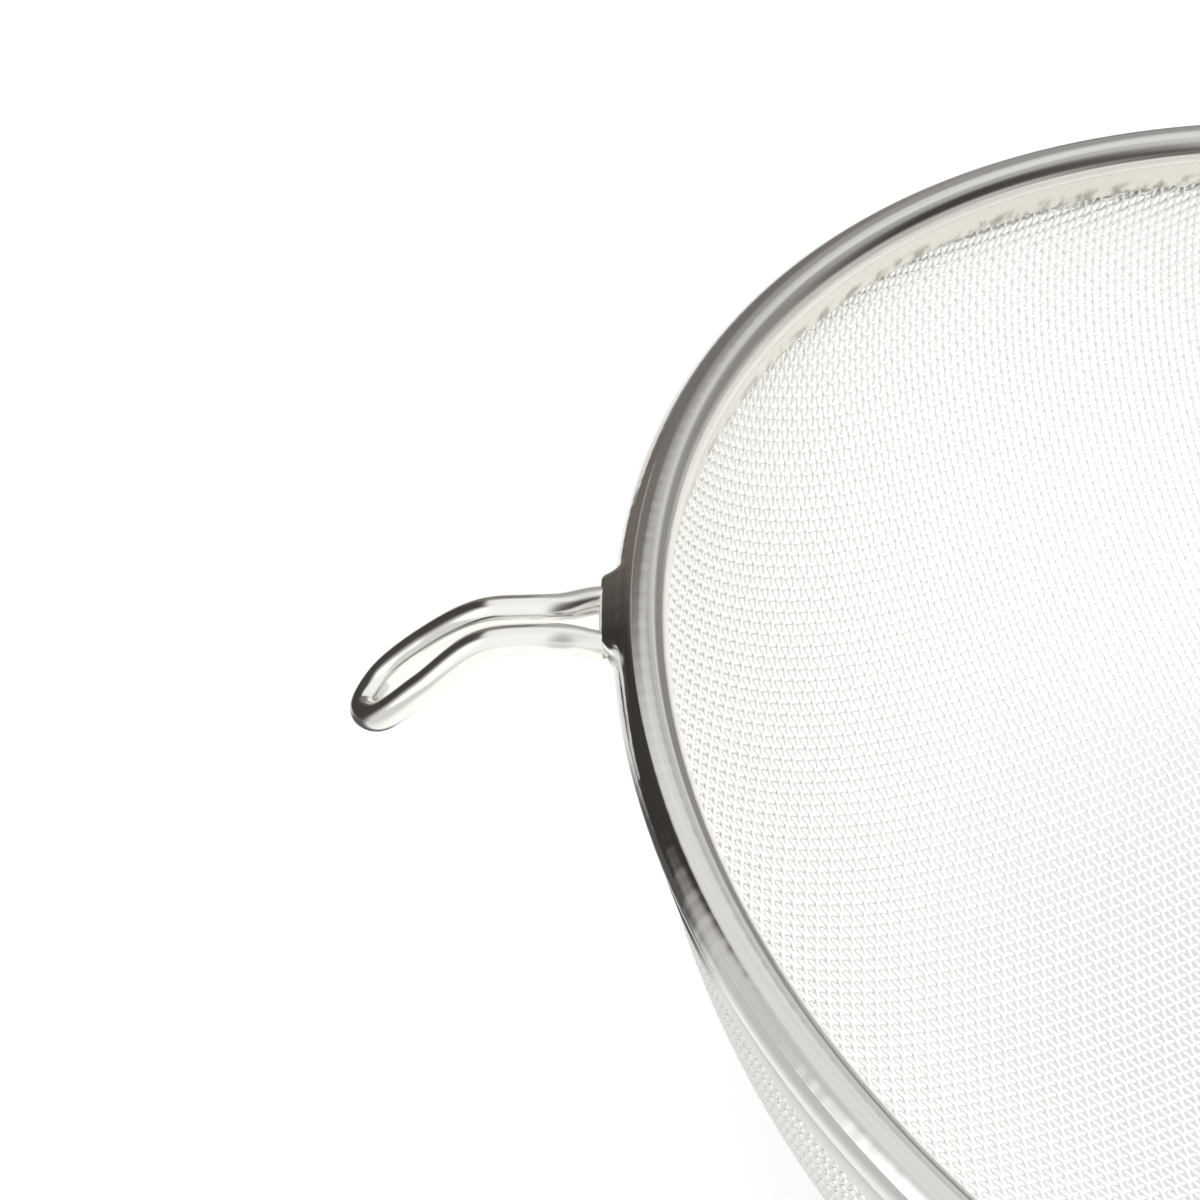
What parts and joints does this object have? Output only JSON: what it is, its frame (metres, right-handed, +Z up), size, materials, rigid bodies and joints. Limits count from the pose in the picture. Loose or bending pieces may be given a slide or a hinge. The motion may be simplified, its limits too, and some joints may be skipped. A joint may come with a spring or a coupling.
{
  "type": "kitchen sieve",
  "caption": "Round wire-cloth kitchen sieve with a rolled steel rim, a bent wire rest hook and a twin-rail wire handle with a hanging loop.",
  "frame": {"origin": "centre of the flat at the bottom of the wire bowl, on the rim's axis", "axes": "+Z up along the rim's axis, +X from the rest hook towards the handle"},
  "size_m": [0.4209, 0.2056, 0.0687],
  "materials": {
    "wire_cloth": "bright woven stainless wire",
    "collar_steel": "satin stainless strip",
    "rim_steel": "polished rolled stainless sheet with fine rolling lines",
    "hoop_wire": "plain drawn wire, hidden",
    "hook_wire": "polished stainless wire",
    "handle_wire": "polished stainless wire"
  },
  "bodies": {
    "root": {"mesh_bowl": "wire_cloth", "mesh_collar": "collar_steel", "rim_band": "rim_steel", "rim_hoop": "hoop_wire", "rest_hook": "hook_wire", "handle_wire": "handle_wire"}
  },
  "joints": []
}
